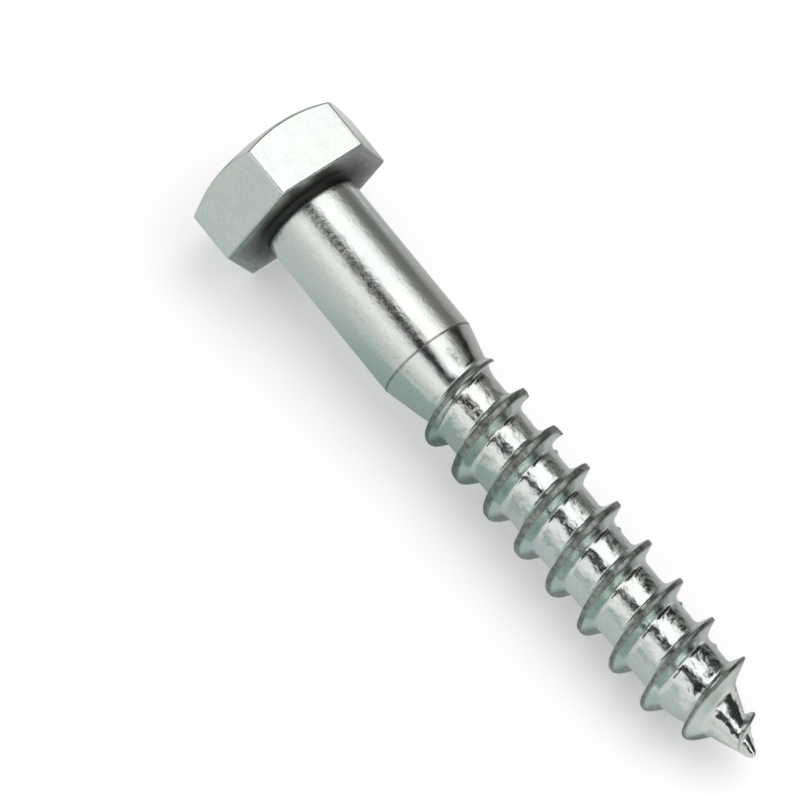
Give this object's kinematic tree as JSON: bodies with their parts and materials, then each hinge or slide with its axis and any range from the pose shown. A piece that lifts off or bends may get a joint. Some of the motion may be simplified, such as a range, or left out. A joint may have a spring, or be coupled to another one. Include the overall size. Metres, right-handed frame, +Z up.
{
  "type": "coach screw",
  "caption": "Hexagon-head coach screw with a plain shank, a coarse right-hand wood thread and a gimlet point, bright zinc plated.",
  "frame": {"origin": "centre of the bearing face under the head, on the screw's axis", "axes": "+Z up as the screw lies at rest on one flat's lower rim and a thread crest; the screw's axis lies in the XZ plane and points to the tip along +X, dropping 3.09 degrees below it; +Y is across"},
  "size_m": [0.0566, 0.0148, 0.013],
  "materials": {
    "zinc_plated_steel": "bright zinc plating over cold-formed steel, slightly mottled, with drawing marks along the shank"
  },
  "bodies": {
    "root": {"coach_screw": "zinc_plated_steel"}
  },
  "joints": []
}
